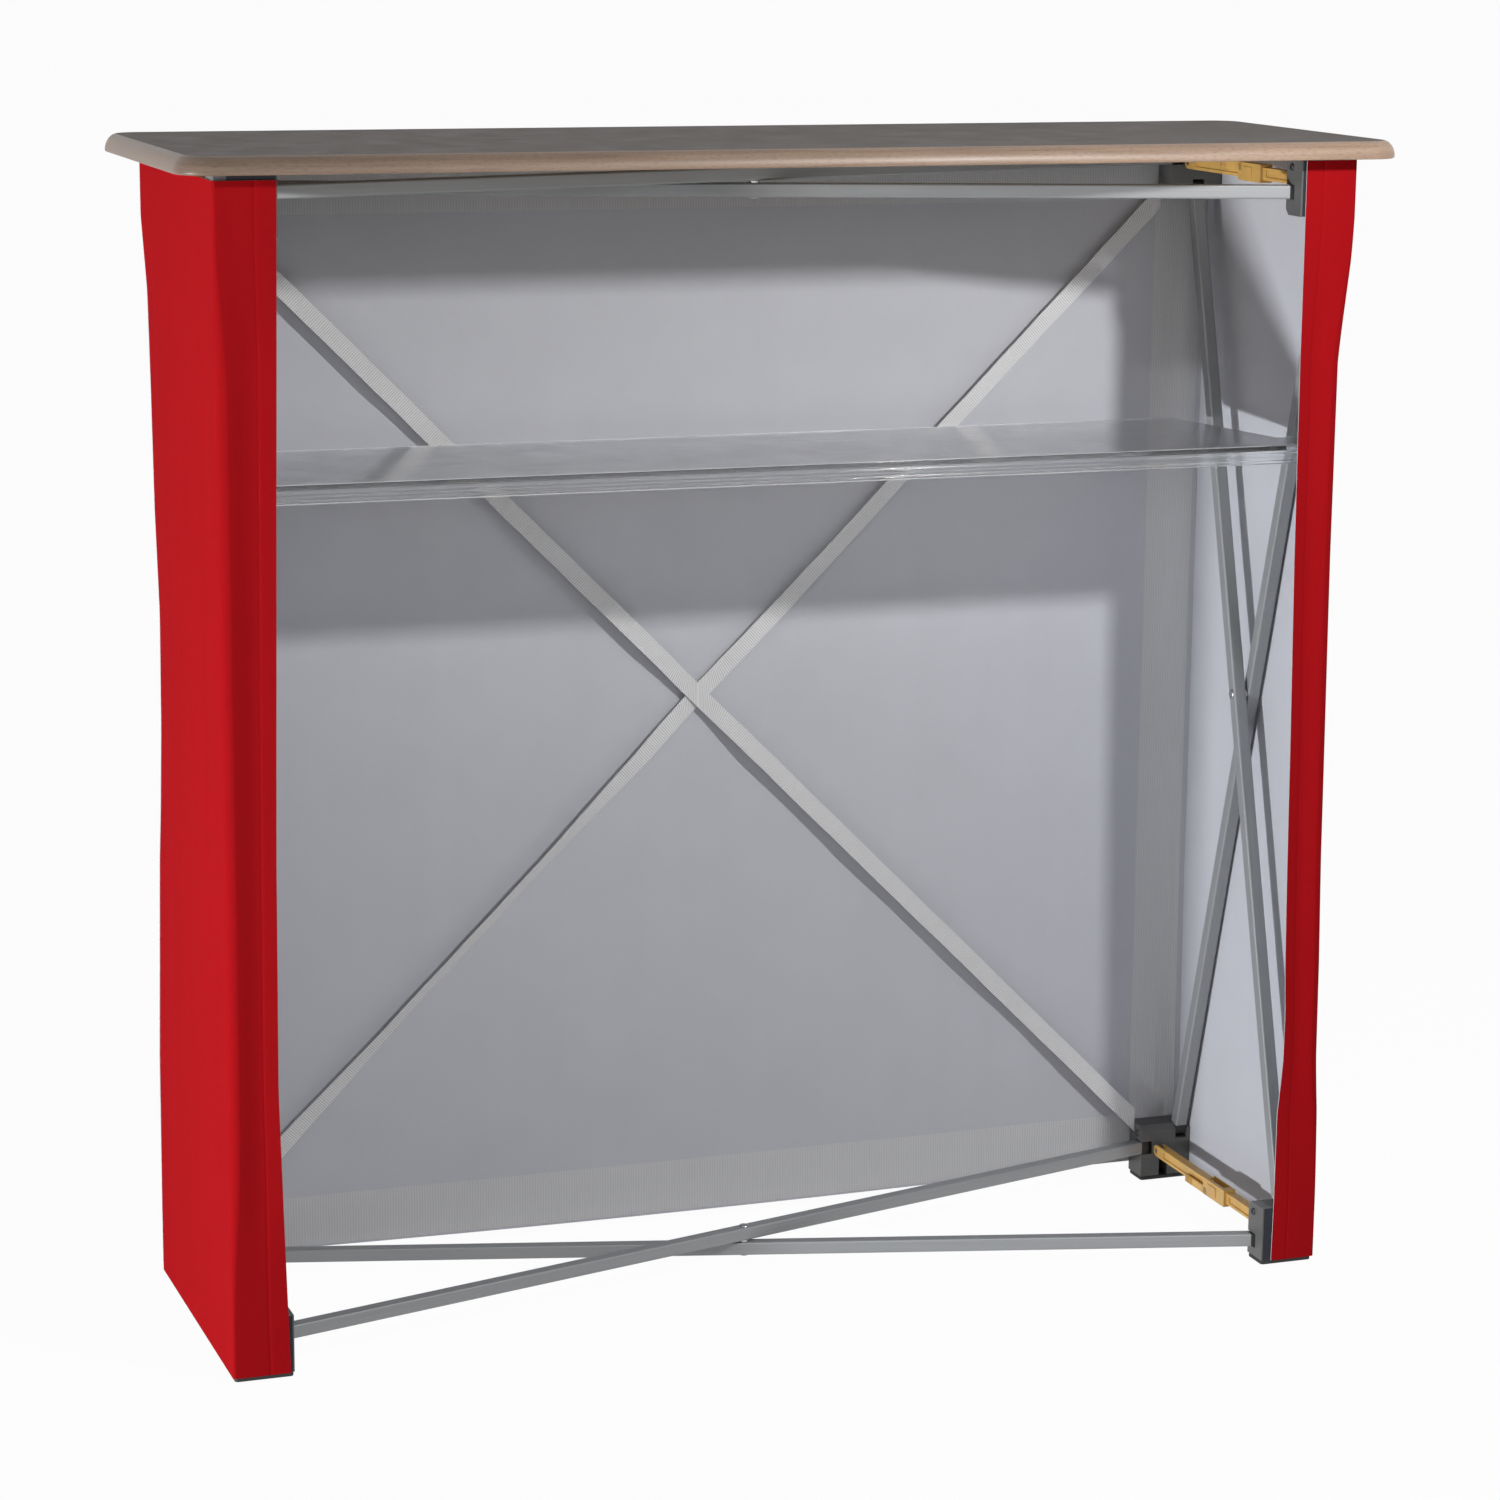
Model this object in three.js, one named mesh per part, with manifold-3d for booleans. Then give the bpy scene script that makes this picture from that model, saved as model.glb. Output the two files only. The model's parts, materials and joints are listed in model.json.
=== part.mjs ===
// Folding portable bar: a pop-up frame of crossed square tubes between eight corner hubs,
// a stretched cloth skin round three sides, a clear shelf and a lift-off worktop.
// Millimetres, +Z up. The origin is on the floor under the middle of the worktop,
// the staff side faces -Y and the customer side faces +Y.
import * as THREE from 'three';
import { mergeVertices } from 'three/addons/utils/BufferGeometryUtils.js';
import Module from 'manifold-3d';

const wasm = await Module();
wasm.setup();

// Driving dimensions
const skinWidth = 1000;
const skinDepth = 288;
const clothThickness = 1;
const clothGap = 0.5;
const skinLift = 4;
const skinBelowHubTop = 2;
const returnWidth = 49;
const fit = 0.3;
const overlap = 1;

const barSize = 12;
const barWall = 1.2;
const barCorner = 1.5;
const barGap = 2;
const sideBarGap = 2;
const pinHold = 2;
const tubeFromPivot = 7;

const hubDepth = 28;
const hubHeight = 50;
const pivotFromInnerFace = 6;
const pivotFromSkinFace = 20;
const sidePivotFromEnd = 7.5;
const outerHubWall = 3;
const footHeight = 4;
const footMargin = 0.5;
const footCorner = 3;
const hubChamfer = 5;
const pocketWidth = 9;
const pocketHeight = 18;
const pocketDepth = 20;
const floorBarLift = 8.5;
const topLowerLevel = 20;
const floorBraceLevel = 27;
const topBraceLevel = 30;

const rivetRadius = 2.5;
const rivetHeadRadius = 4.5;
const rivetCrownRadius = 3.15;
const rivetHeadHeight = 1.5;

const braceWidth = 9;
const braceHeight = 11;
const braceWall = 1.2;
const braceGap = 0.5;
const braceGroove = 1.5;
const braceSolidEnd = 5;
const bracePinRadius = 2;
const lugThickness = 3.4;
const pivotClearOfLug = 3.3;
const clipLength = 44;
const clipMargin = 2.5;
const clipBulge = 3;
const clipWall = 8;
const tongueReach = 34;

const strapWidth = 16;
const strapThickness = 1.2;
const strapPastHub = 2;
const strapGap = 1;
const strapStandOff = 8;

const shelfHeight = 746;
const shelfThickness = 4;
const shelfNearInset = 18;
const shelfFarInset = 66;
const shelfEndInset = 6;
const shelfNotchDraft = 30;
const shelfNotchGap = 1.2;
const shelfLipDepth = 8;
const shelfRibHeight = 3.2;
const shelfRibDepth = 1.2;

const worktopThickness = 15;
const overhangSide = 31;
const overhangNear = 30;
const overhangFar = 16;
const worktopCorner = 30;
const edgingWidth = 14;
const laminateInset = 9;
const laminateThickness = 0.8;
const cornerSteps = 4;

// Bars, plugs and braces, sized from each other
const barPitch = barSize + barGap;
const sideBarPitch = barSize + sideBarGap;
const pinRadius = barSize / 4;
const plugInsert = barSize * 1.5;
const floorLowerLevel = barSize / 2 + floorBarLift;
const outerSideBarInset = barSize / 2 + outerHubWall;
const braceInset = outerSideBarInset + sideBarPitch + barSize / 2 + braceGap + braceWidth / 2;
const pivotInset = braceInset + lugThickness / 2 + pivotClearOfLug + barSize / 2;
const hubWidth = pivotInset + pivotFromInnerFace;
const eyeRadius = braceHeight / 2 - overlap;
const lugReach = braceHeight / 2 + 2 * fit;
const tongueSize = braceWidth - 2 * braceWall;
const clipHeight = braceHeight + 2 * clipMargin;

// Places worked out from the driving dimensions
const hubOuterX = skinWidth / 2 - clothThickness - clothGap;
const hubOuterY = skinDepth / 2 - clothThickness - clothGap;
const pivotX = hubOuterX - pivotInset;
const pivotY = hubOuterY - pivotFromSkinFace;
const sideOuterX = hubOuterX - outerSideBarInset;
const sideInnerX = sideOuterX - sideBarPitch;
const pivotSpan = 2 * pivotX;
const barLength = Math.hypot(pivotSpan, 2 * pivotY);
const lowSidePivotZ = footHeight + hubHeight - sidePivotFromEnd;
const highSidePivotZ = lowSidePivotZ + pivotSpan;
const topHubZ = highSidePivotZ - sidePivotFromEnd;
const frameTop = topHubZ + hubHeight;
const skinTop = frameTop - skinBelowHubTop;
const frameY = (overhangNear - overhangFar) / 2;
const innerHubX = hubOuterX - hubWidth;
const innerHubY = hubOuterY - hubDepth;
const bracePivotY = innerHubY - lugReach;

// Materials, coloured from the photograph
function finish(color, roughness, metalness = 0) {
  return new THREE.MeshStandardMaterial({ color, roughness, metalness });
}
const aluminium = finish(0xb8babd, 0.35, 0.9);
const steel = finish(0x8f9194, 0.3, 1);
const hubPlastic = finish(0x5c5c5c, 0.55);
const plugPlastic = finish(0x77746f, 0.5);
const footRubber = finish(0x2a2827, 0.8);
const bracePlastic = finish(0xd2a555, 0.5);
const redCloth = finish(0xba1c21, 0.9);
const webbing = finish(0xc9c8ca, 0.9);
const clearPlastic = finish(0xd8dde0, 0.15);
const laminate = finish(0x5c5653, 0.6);
const beech = finish(0xc79a78, 0.5);
const chipboard = finish(0xb09a78, 0.9);

// Solids
function toSolid(geometry) {
  const bare = geometry.clone();
  bare.deleteAttribute('normal');
  bare.deleteAttribute('uv');
  const merged = mergeVertices(bare, 1e-4);
  const vertProperties = new Float32Array(merged.attributes.position.array);
  const triVerts = new Uint32Array(merged.index.array);
  return new wasm.Manifold(new wasm.Mesh({ numProp: 3, vertProperties, triVerts }));
}

function toGeometry(solid) {
  const mesh = solid.getMesh();
  const geometry = new THREE.BufferGeometry();
  geometry.setAttribute('position', new THREE.BufferAttribute(Float32Array.from(mesh.vertProperties), 3));
  geometry.setIndex(new THREE.BufferAttribute(Uint32Array.from(mesh.triVerts), 1));
  geometry.computeVertexNormals();
  return geometry;
}

// A box between two corners, given in any order
function box(a, b) {
  const size = a.map((value, i) => Math.abs(b[i] - value));
  const middle = a.map((value, i) => (b[i] + value) / 2);
  return toSolid(new THREE.BoxGeometry(...size).translate(...middle));
}

function rod(axis, centre, radius, length, sides = 10) {
  const geometry = new THREE.CylinderGeometry(radius, radius, length, sides);
  if (axis === 'x') geometry.rotateZ(Math.PI / 2);
  if (axis === 'z') geometry.rotateX(Math.PI / 2);
  return toSolid(geometry.translate(...centre));
}

// A shape in the XY plane, extruded from one height to another
function prism(shape, low, high, curveSegments = 4) {
  const settings = { depth: high - low, bevelEnabled: false, curveSegments };
  return toSolid(new THREE.ExtrudeGeometry(shape, settings).translate(0, 0, low));
}

function square(size) {
  const half = size / 2;
  const shape = new THREE.Shape();
  shape.moveTo(half, half);
  shape.lineTo(-half, half);
  shape.lineTo(-half, -half);
  shape.lineTo(half, -half);
  return shape;
}

function roundedRectangle(width, height, radius) {
  const shape = new THREE.Shape();
  const x = width / 2 - radius;
  const y = height / 2 - radius;
  shape.absarc(x, y, radius, 0, Math.PI / 2);
  shape.absarc(-x, y, radius, Math.PI / 2, Math.PI);
  shape.absarc(-x, -y, radius, Math.PI, 1.5 * Math.PI);
  shape.absarc(x, -y, radius, 1.5 * Math.PI, 2 * Math.PI);
  return shape;
}

const bar = new THREE.Group();
const frame = new THREE.Group();
frame.position.y = frameY;
bar.add(frame);

function addPart(group, name, solidOrGeometry, material) {
  const geometry = solidOrGeometry.isBufferGeometry ? solidOrGeometry : toGeometry(solidOrGeometry);
  const mesh = new THREE.Mesh(geometry, material);
  mesh.name = name;
  group.add(mesh);
  return mesh;
}

// Corners: side is -1 on the left, depth is -1 near the staff
const corners = [];
for (const [depth, depthName] of [[-1, 'near'], [1, 'far']]) {
  for (const [side, sideName] of [[-1, 'left'], [1, 'right']]) {
    const risingBar = side === depth;
    corners.push({ side, depth, risingBar, name: `${depthName}_${sideName}` });
  }
}

// Corner hubs: a moulded block, slotted for one crossed bar and one side bar and cored out between
// them, with the bars' pins and the lug of a brace. Insets run inwards from the hub's outer faces.
function cornerHub(corner, isTop) {
  const base = isTop ? topHubZ : footHeight;
  const x = (inset) => corner.side * (hubOuterX - inset);
  const y = (inset) => corner.depth * (hubOuterY - inset);
  const upper = corner.risingBar ? barPitch : 0;
  const level = base + (isTop ? topLowerLevel : floorLowerLevel) + upper;
  const sideIsOuter = corner.risingBar !== isTop;
  const sideInset = sideIsOuter ? outerSideBarInset : outerSideBarInset + sideBarPitch;
  const sideZ = isTop ? highSidePivotZ : lowSidePivotZ;
  const slotHalf = barSize / 2 + fit;
  const swing = barSize / 2 + 2 * fit;
  const pinLength = 2 * (slotHalf + pinHold);

  let hub = box([x(0), y(0), base], [x(hubWidth), y(hubDepth), base + hubHeight]);
  const crossedSlot = box(
    [x(pivotInset - swing), y(pivotFromSkinFace - swing), level - slotHalf],
    [x(hubWidth + overlap), y(hubDepth + overlap), level + slotHalf],
  );
  const slotStart = isTop ? sideZ + swing : sideZ - swing;
  const slotEnd = isTop ? base - overlap : base + hubHeight + overlap;
  const sideSlot = box(
    [x(sideInset - slotHalf), y(pivotFromSkinFace - swing), slotStart],
    [x(sideInset + slotHalf), y(hubDepth + overlap), slotEnd],
  );
  const pocketStart = outerSideBarInset + sideBarPitch;
  const pocketEnd = isTop ? base + hubHeight : base;
  const inwards = isTop ? -1 : 1;
  const pocket = box(
    [x(pocketStart), y(hubDepth + overlap), pocketEnd - inwards * overlap],
    [x(pocketStart + pocketWidth), y(hubDepth - pocketDepth), pocketEnd + inwards * pocketHeight],
  );
  const mouth = isTop ? base : base + hubHeight;
  const chamferSide = Math.SQRT2 * hubChamfer;
  const chamfer = new THREE.BoxGeometry(2 * hubWidth, chamferSide, chamferSide).rotateX(Math.PI / 4);
  const chamferCut = toSolid(chamfer.translate(x(hubWidth / 2), y(hubDepth), mouth));
  hub = hub.subtract(crossedSlot).subtract(sideSlot).subtract(pocket).subtract(chamferCut);
  hub = hub.add(rod('z', [x(pivotInset), y(pivotFromSkinFace), level], pinRadius, pinLength));
  hub = hub.add(rod('x', [x(sideInset), y(pivotFromSkinFace), sideZ], pinRadius, pinLength));

  const braceZ = base + (isTop ? topBraceLevel : floorBraceLevel);
  const lugEnd = corner.depth * bracePivotY;
  const lugHalf = lugThickness / 2;
  const lugBlock = box(
    [x(braceInset - lugHalf), y(hubDepth - overlap), braceZ - eyeRadius],
    [x(braceInset + lugHalf), lugEnd, braceZ + eyeRadius],
  );
  const lugEye = rod('x', [x(braceInset), lugEnd, braceZ], eyeRadius, lugThickness);
  const lugPin = rod('x', [x(braceInset), lugEnd, braceZ], bracePinRadius, braceWidth - 2 * fit, 8);
  return hub.add(lugBlock).add(lugEye).add(lugPin);
}

// Rubber feet under the four bottom hubs
function hubFoot(corner) {
  const pad = roundedRectangle(hubWidth - 2 * footMargin, hubDepth - 2 * footMargin, footCorner);
  const solid = prism(pad, 0, footHeight - fit, 3);
  const middleX = corner.side * (hubOuterX - hubWidth / 2);
  const middleY = corner.depth * (hubOuterY - hubDepth / 2);
  return solid.translate([middleX, middleY, 0]);
}

for (const corner of corners) {
  addPart(frame, `hub_${corner.name}_bottom`, cornerHub(corner, false), hubPlastic);
  addPart(frame, `hub_${corner.name}_top`, cornerHub(corner, true), hubPlastic);
  addPart(frame, `foot_${corner.name}`, hubFoot(corner), footRubber);
}

// Crossed bars: a square tube with a plastic eye plugged into each end. A bar is made along
// local X from its near pivot, and swings about local Z.
function barTube() {
  const outline = roundedRectangle(barSize, barSize, barCorner);
  const bore = barSize - 2 * barWall;
  outline.holes.push(square(bore));
  const tubeLength = barLength - 2 * tubeFromPivot;
  const settings = { depth: tubeLength, bevelEnabled: false, curveSegments: 1 };
  const geometry = new THREE.ExtrudeGeometry(outline, settings).rotateY(Math.PI / 2);
  const hole = rod('z', [barLength / 2, 0, 0], rivetRadius + fit, 2 * barSize);
  return toSolid(geometry.translate(tubeFromPivot, 0, 0)).subtract(hole);
}

function barPlug() {
  const half = barSize / 2;
  const neck = half - barWall - fit;
  const headEnd = tubeFromPivot - fit;
  const outline = new THREE.Shape();
  outline.absarc(0, 0, half, Math.PI / 2, 1.5 * Math.PI);
  outline.lineTo(headEnd, -half);
  outline.lineTo(headEnd, half);
  const insert = box([headEnd - overlap, -neck, -neck], [tubeFromPivot + plugInsert, neck, neck]);
  const eye = rod('z', [0, 0, 0], pinRadius + fit, 2 * barSize);
  return prism(outline, -half, half, 5).add(insert).subtract(eye);
}

// A rivet stands on the crossing of two bars: two heads, a shank and a washer between the bars
function crossingRivet(pitch) {
  const half = pitch / 2;
  const collar = half - barSize / 2 - fit;
  const underHead = half + barSize / 2 + fit;
  const top = underHead + rivetHeadHeight;
  const profile = [
    [0, -top], [rivetCrownRadius, -top], [rivetHeadRadius, -underHead], [rivetRadius, -underHead],
    [rivetRadius, -collar], [rivetHeadRadius, -collar], [rivetHeadRadius, collar], [rivetRadius, collar],
    [rivetRadius, underHead], [rivetHeadRadius, underHead], [rivetCrownRadius, top], [0, top],
  ].map(([radius, height]) => new THREE.Vector2(radius, height));
  return toSolid(new THREE.LatheGeometry(profile, 8).rotateX(Math.PI / 2));
}

function barGroup(near, far, swingAxis) {
  const along = new THREE.Vector3().subVectors(far, near).normalize();
  const across = new THREE.Vector3().crossVectors(swingAxis, along);
  const group = new THREE.Group();
  group.quaternion.setFromRotationMatrix(new THREE.Matrix4().makeBasis(along, across, swingAxis));
  group.position.copy(near);
  frame.add(group);
  return group;
}

function addBar(name, near, far, swingAxis) {
  const group = barGroup(near, far, swingAxis);
  addPart(group, `${name}_tube`, barTube(), aluminium);
  addPart(group, `${name}_near_plug`, barPlug(), plugPlastic);
  const farPlug = addPart(group, `${name}_far_plug`, barPlug(), plugPlastic);
  farPlug.rotation.z = Math.PI;
  farPlug.position.x = barLength;
}

const upright = new THREE.Vector3(0, 0, 1);
const sideways = new THREE.Vector3(1, 0, 0);

for (const [level, lowerZ] of [
  ['floor', footHeight + floorLowerLevel],
  ['top', topHubZ + topLowerLevel],
]) {
  const upperZ = lowerZ + barPitch;
  const nearLeft = new THREE.Vector3(-pivotX, -pivotY, upperZ);
  const farRight = new THREE.Vector3(pivotX, pivotY, upperZ);
  const nearRight = new THREE.Vector3(pivotX, -pivotY, lowerZ);
  const farLeft = new THREE.Vector3(-pivotX, pivotY, lowerZ);
  addBar(`${level}_bar_upper`, nearLeft, farRight, upright);
  addBar(`${level}_bar_lower`, nearRight, farLeft, upright);
  const rivet = addPart(frame, `${level}_rivet`, crossingRivet(barPitch), steel);
  rivet.position.z = lowerZ + barPitch / 2;
}

for (const [side, sideName] of [[-1, 'left'], [1, 'right']]) {
  const outerX = side * sideOuterX;
  const innerX = side * sideInnerX;
  const outerNearZ = side < 0 ? lowSidePivotZ : highSidePivotZ;
  const innerNearZ = side < 0 ? highSidePivotZ : lowSidePivotZ;
  const bothZ = lowSidePivotZ + highSidePivotZ;
  for (const [place, x, nearZ] of [['outer', outerX, outerNearZ], ['inner', innerX, innerNearZ]]) {
    const near = new THREE.Vector3(x, -pivotY, nearZ);
    const far = new THREE.Vector3(x, pivotY, bothZ - nearZ);
    addBar(`${sideName}_bar_${place}`, near, far, sideways);
  }
  const rivet = addPart(frame, `${sideName}_rivet`, crossingRivet(sideBarPitch), steel);
  rivet.rotation.y = Math.PI / 2;
  rivet.position.set((outerX + innerX) / 2, 0, bothZ / 2);
}

// Locking braces between the near and the far hub: two halves that meet half-way, where the
// far half's tongue lies in the near half's open clip
function braceHalf(corner, isTop) {
  const centreZ = isTop ? topHubZ + topBraceLevel : footHeight + floorBraceLevel;
  const opens = isTop ? -1 : 1;
  const halfWidth = braceWidth / 2;
  const halfHeight = braceHeight / 2;
  const x = (inset) => corner.side * (hubOuterX - braceInset - inset);
  const y = (reach) => corner.depth * (bracePivotY - reach);
  const z = (height) => centreZ + opens * height;
  const middle = bracePivotY;
  const meeting = middle - braceGap;
  const isNear = corner.depth < 0;
  const beamEnd = isNear ? meeting - clipLength : meeting;
  const forkDepth = eyeRadius + lugReach + 2 * fit;
  const forkGap = lugThickness / 2 + fit;

  const beam = box(
    [x(-halfWidth), y(0), z(-halfHeight)],
    [x(halfWidth), y(isNear ? beamEnd + overlap : beamEnd), z(halfHeight)],
  );
  let half = beam.add(rod('x', [x(0), y(0), z(0)], halfHeight, braceWidth));
  for (const face of [-1, 1]) {
    const groove = box(
      [x(face * (halfWidth - braceGroove)), y(forkDepth + braceSolidEnd), z(-halfHeight / 2)],
      [x(face * (halfWidth + braceGroove)), y(beamEnd - braceSolidEnd), z(halfHeight / 2)],
    );
    half = half.subtract(groove);
  }
  const fork = box(
    [x(-forkGap), y(-braceHeight), z(-braceHeight)],
    [x(forkGap), y(forkDepth), z(braceHeight)],
  );
  const pinHole = rod('x', [x(0), y(0), z(0)], bracePinRadius + 2 * fit, 2 * braceWidth, 8);
  half = half.subtract(fork).subtract(pinHole);
  if (isNear) {
    const clip = box(
      [x(-halfWidth), y(beamEnd), z(-clipHeight / 2)],
      [x(halfWidth + clipBulge), y(meeting), z(clipHeight / 2)],
    );
    const channelHalf = tongueSize / 2 + braceGap;
    const channel = box(
      [x(-channelHalf), y(beamEnd + clipWall), z(-channelHalf)],
      [x(channelHalf), y(meeting + overlap), z(clipHeight)],
    );
    return half.add(clip).subtract(channel);
  }
  const tongue = box(
    [x(-tongueSize / 2), y(meeting - overlap), z(-tongueSize / 2)],
    [x(tongueSize / 2), y(middle + tongueReach), z(tongueSize / 2)],
  );
  return half.add(tongue);
}

for (const corner of corners) {
  addPart(frame, `brace_${corner.name}_bottom`, braceHalf(corner, false), bracePlastic);
  addPart(frame, `brace_${corner.name}_top`, braceHalf(corner, true), bracePlastic);
}

// Cloth skin: a front panel in two halves that pleat at the middle, and a flap on each side
// whose return wraps round the near hubs
const seam = fit / 2;
const skinFaceY = skinDepth / 2;
for (const [side, sideName] of [[-1, 'left'], [1, 'right']]) {
  const panel = box(
    [side * seam, skinFaceY - clothThickness, skinLift],
    [side * skinWidth / 2, skinFaceY, skinTop],
  );
  addPart(frame, `front_panel_${sideName}`, panel, redCloth);

  const outerX = side * skinWidth / 2;
  const innerX = outerX - side * clothThickness;
  const sideSheet = box(
    [innerX, -skinFaceY, skinLift],
    [outerX, skinFaceY - clothThickness - fit, skinTop],
  );
  const returnSheet = box(
    [outerX - side * returnWidth, -skinFaceY, skinLift],
    [outerX, clothThickness - skinFaceY, skinTop],
  );
  addPart(frame, `side_flap_${sideName}`, sideSheet.add(returnSheet), redCloth);
}

// Webbing straps: two diagonals behind the front panel, held to the far hubs' inner faces
const strapEndX = innerHubX - fit;
const strapLowZ = footHeight + hubHeight + strapPastHub;
const strapHighZ = topHubZ - strapPastHub;
const strapSlope = (strapHighZ - strapLowZ) / (2 * strapEndX);
const strapRise = strapWidth / 2 * Math.hypot(1, strapSlope);
const strapMidZ = (strapLowZ + strapHighZ) / 2;

function strapHalf(side, direction, backY) {
  const endX = side * strapEndX;
  const startX = side * seam;
  const centre = (x) => direction * strapSlope * x;
  const outline = new THREE.Shape();
  outline.moveTo(startX, centre(startX) - strapRise);
  outline.lineTo(endX, centre(endX) - strapRise);
  outline.lineTo(endX, centre(endX) + strapRise);
  outline.lineTo(startX, centre(startX) + strapRise);
  const flat = new THREE.ExtrudeGeometry(outline, { depth: strapThickness, bevelEnabled: false });
  return toSolid(flat.rotateX(Math.PI / 2).translate(0, backY, strapMidZ));
}

const strapBackY = skinFaceY - clothThickness - strapStandOff;
for (const [side, sideName] of [[-1, 'left'], [1, 'right']]) {
  const falling = strapHalf(side, -1, strapBackY - strapThickness - strapGap);
  addPart(frame, `strap_falling_${sideName}`, falling, webbing);
  addPart(frame, `strap_rising_${sideName}`, strapHalf(side, 1, strapBackY), webbing);
}

// Clear shelf: a plate notched at its far corners, so that it draws out past the side bars,
// with a ribbed lip along the near edge
const barLean = pivotY / pivotX;
const barAtShelf = (shelfHeight - (lowSidePivotZ + highSidePivotZ) / 2) * barLean;
const barSpread = barSize / 2 * Math.hypot(1, barLean);
const notchNearY = -barAtShelf - barSpread - fit;
const notchX = sideInnerX - barSize / 2 - shelfNotchGap;
const shelfNearY = shelfNearInset - hubOuterY;
const shelfFarY = hubOuterY - shelfFarInset;
const shelfLipHeight = 5 * shelfRibHeight;
const shelfEndX = hubOuterX - shelfEndInset;

function shelfSolid() {
  const outline = new THREE.Shape();
  outline.moveTo(-shelfEndX, shelfNearY);
  outline.lineTo(shelfEndX, shelfNearY);
  outline.lineTo(shelfEndX, notchNearY);
  outline.lineTo(notchX, notchNearY);
  outline.lineTo(notchX - shelfNotchDraft, shelfFarY);
  outline.lineTo(shelfNotchDraft - notchX, shelfFarY);
  outline.lineTo(-notchX, notchNearY);
  outline.lineTo(-shelfEndX, notchNearY);
  const plate = prism(outline, shelfHeight - shelfThickness, shelfHeight);
  const lipBack = shelfNearY + shelfLipDepth;
  const lipLow = shelfHeight - shelfLipHeight;
  let lip = box([-shelfEndX, shelfNearY, lipLow], [shelfEndX, lipBack, shelfHeight]);
  for (const step of [1, 3]) {
    const low = lipLow + step * shelfRibHeight;
    const groove = box(
      [-skinWidth, shelfNearY - overlap, low],
      [skinWidth, shelfNearY + shelfRibDepth, low + shelfRibHeight],
    );
    lip = lip.subtract(groove);
  }
  return plate.add(lip);
}

addPart(frame, 'shelf', shelfSolid(), clearPlastic);

// Worktop: a board in a rounded beech edging, under a laminate sheet let into a rebate
const worktopWidth = skinWidth + 2 * overhangSide;
const worktopDepth = skinDepth + overhangNear + overhangFar;
const worktopZ = frameTop + fit;
const boardTop = worktopThickness - laminateThickness - fit;

function worktopOutline(inset) {
  const radius = worktopCorner - inset;
  return roundedRectangle(worktopWidth - 2 * inset, worktopDepth - 2 * inset, radius);
}

// Stacked outlines, each at its own inset and height, closed at the bottom and the top
function stackedSlab(levels) {
  const rings = levels.map(({ inset }) => worktopOutline(inset).getPoints(cornerSteps));
  const count = rings[0].length - 1;
  const positions = [];
  rings.forEach((ring, i) => {
    ring.slice(0, count).forEach((point) => positions.push(point.x, point.y, levels[i].height));
  });
  const index = [];
  for (let i = 0; i + 1 < rings.length; i += 1) {
    for (let j = 0; j < count; j += 1) {
      const a = i * count + j;
      const b = i * count + ((j + 1) % count);
      index.push(a, b, b + count, a, b + count, a + count);
    }
  }
  const lastRing = (rings.length - 1) * count;
  for (let j = 1; j + 1 < count; j += 1) {
    index.push(0, j + 1, j);
    index.push(lastRing, lastRing + j, lastRing + j + 1);
  }
  const geometry = new THREE.BufferGeometry();
  geometry.setAttribute('position', new THREE.Float32BufferAttribute(positions, 3));
  geometry.setIndex(index);
  return toSolid(geometry);
}

// The rounded edge, as shares of the edging's width and of the worktop's thickness
const edgeProfile = [[0.1, 0], [0, 0.1], [0.03, 0.35], [0.13, 0.65], [0.33, 0.88], [0.6, 1]].map(
  ([inset, height]) => ({ inset: inset * edgingWidth, height: height * worktopThickness }),
);
const worktop = new THREE.Group();
worktop.position.z = worktopZ;
bar.add(worktop);
const boardSpace = prism(worktopOutline(edgingWidth), -overlap, boardTop + overlap, cornerSteps);
const rebateTop = worktopThickness + overlap;
const laminateSpace = prism(worktopOutline(laminateInset), boardTop, rebateTop, cornerSteps);
const edging = stackedSlab(edgeProfile).subtract(boardSpace).subtract(laminateSpace);
addPart(worktop, 'worktop_edging', edging, beech);
const boardSolid = prism(worktopOutline(edgingWidth + fit), 0, boardTop, cornerSteps);
addPart(worktop, 'worktop_board', boardSolid, chipboard);
const laminateLow = worktopThickness - laminateThickness;
const laminateSheet = prism(worktopOutline(laminateInset + fit), laminateLow, worktopThickness, cornerSteps);
addPart(worktop, 'worktop_laminate', laminateSheet, laminate);

export default bar;
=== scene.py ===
# Folding portable bar, seen from the staff side: crossed square tubes between eight corner hubs,
# a red cloth skin round three sides, a clear shelf and a lift-off worktop. Metres, in the packed
# model's frame: +X to the right, +Y to the customers, +Z up.
import json
import math
import bmesh
import bpy
from mathutils import Matrix, Vector, noise


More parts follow.
